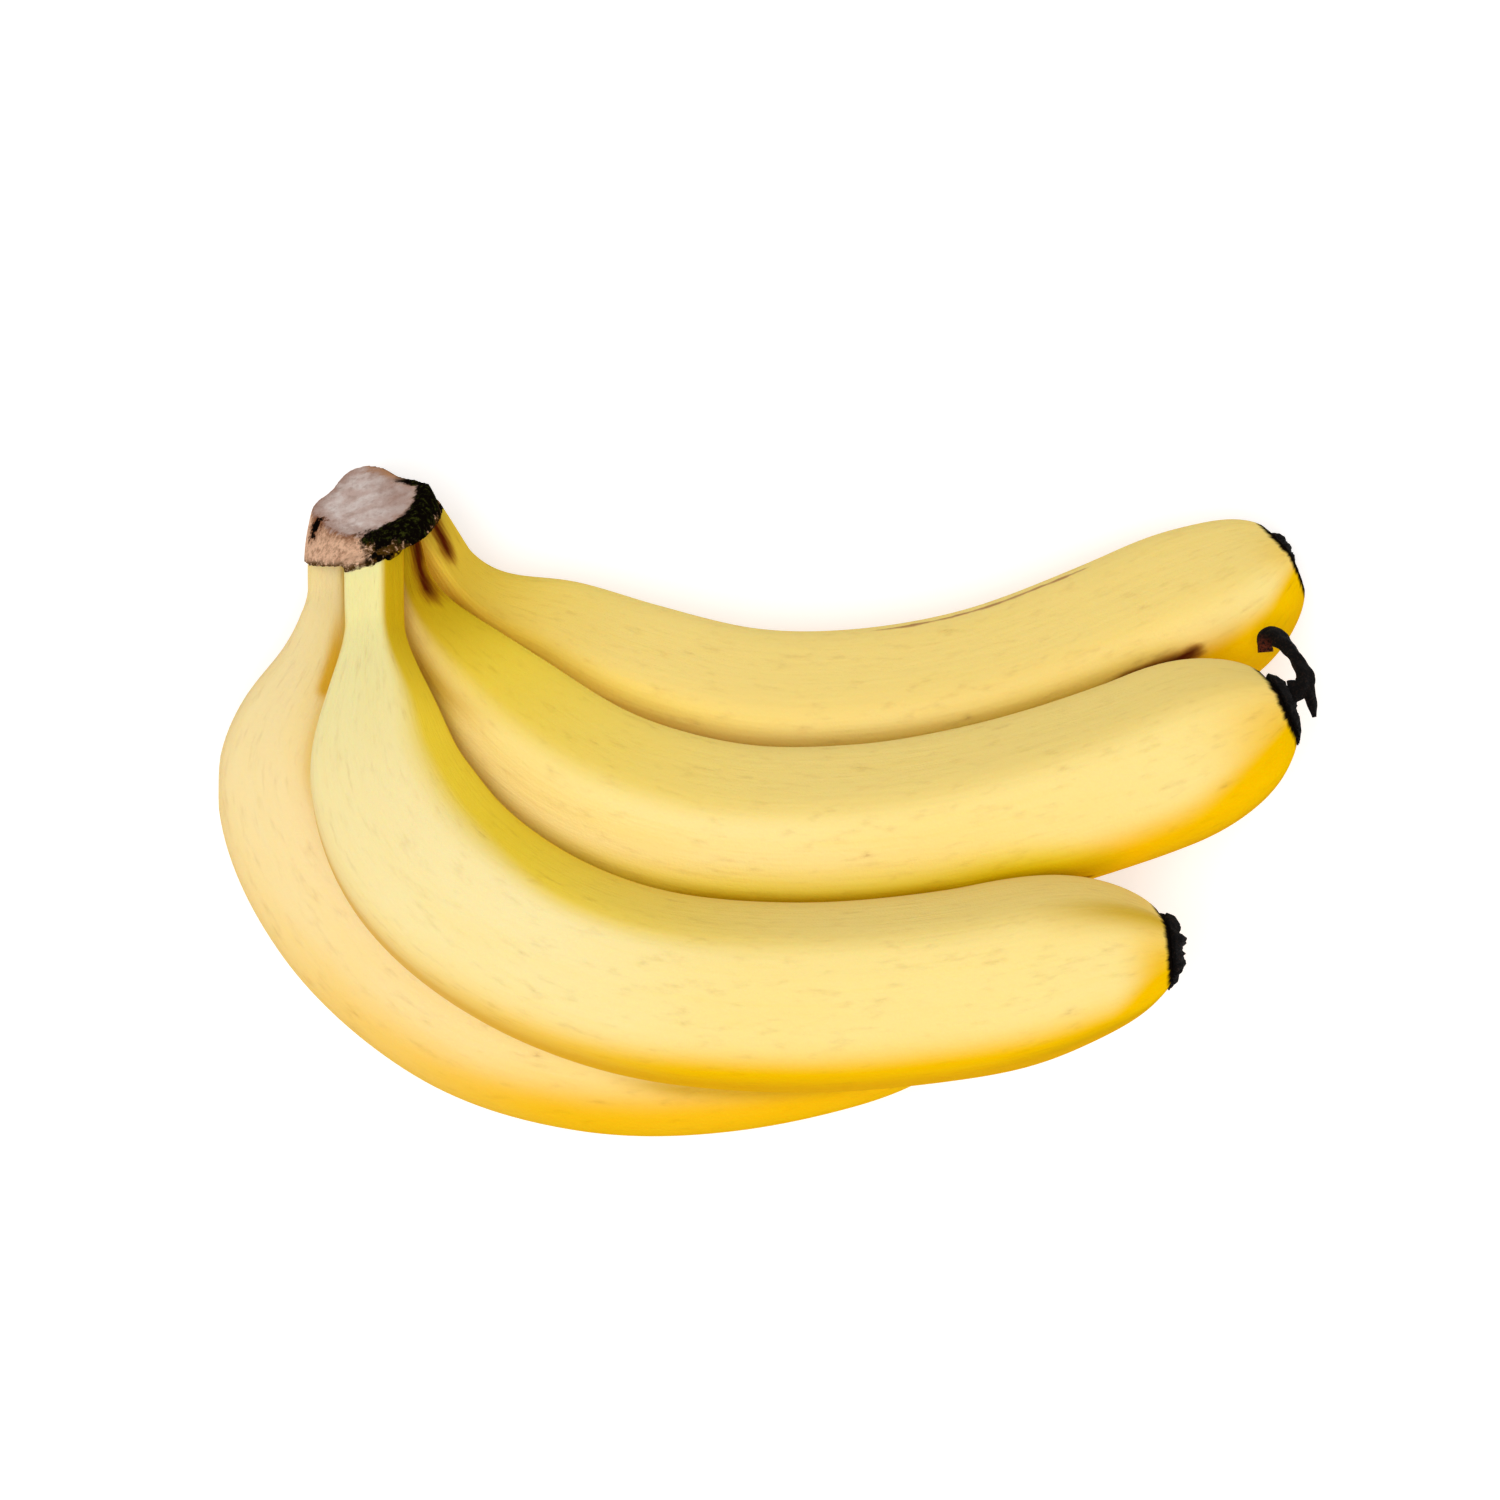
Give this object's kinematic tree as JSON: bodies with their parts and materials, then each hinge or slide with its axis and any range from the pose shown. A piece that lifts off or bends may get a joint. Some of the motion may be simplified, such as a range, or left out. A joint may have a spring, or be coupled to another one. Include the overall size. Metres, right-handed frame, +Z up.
{
  "type": "bunch of bananas",
  "caption": "Ripe dessert bananas joined at one cut crown, lying on their side; a resting prop for a fruit bowl, table or shelf",
  "frame": {"origin": "on the surface the bunch lies on, under the middle of its bounding box", "axes": "+X runs along the fingers from the crown side to the flower ends, +Y towards the inside of their bend, +Z up from the surface"},
  "size_m": [0.224, 0.1403, 0.077],
  "materials": {
    "peel": "waxy ripe peel, satin",
    "crown": "dry corky cut face with a blackened rim, matt",
    "flower_end": "dried black fibre, matt"
  },
  "bodies": {
    "root": {"crown": "crown", "finger_1": "peel", "finger_2": "peel", "finger_3": "peel", "finger_4": "peel", "flower_end_1": "flower_end", "flower_end_2": "flower_end", "flower_end_3": "flower_end", "flower_end_4": "flower_end"}
  },
  "joints": []
}
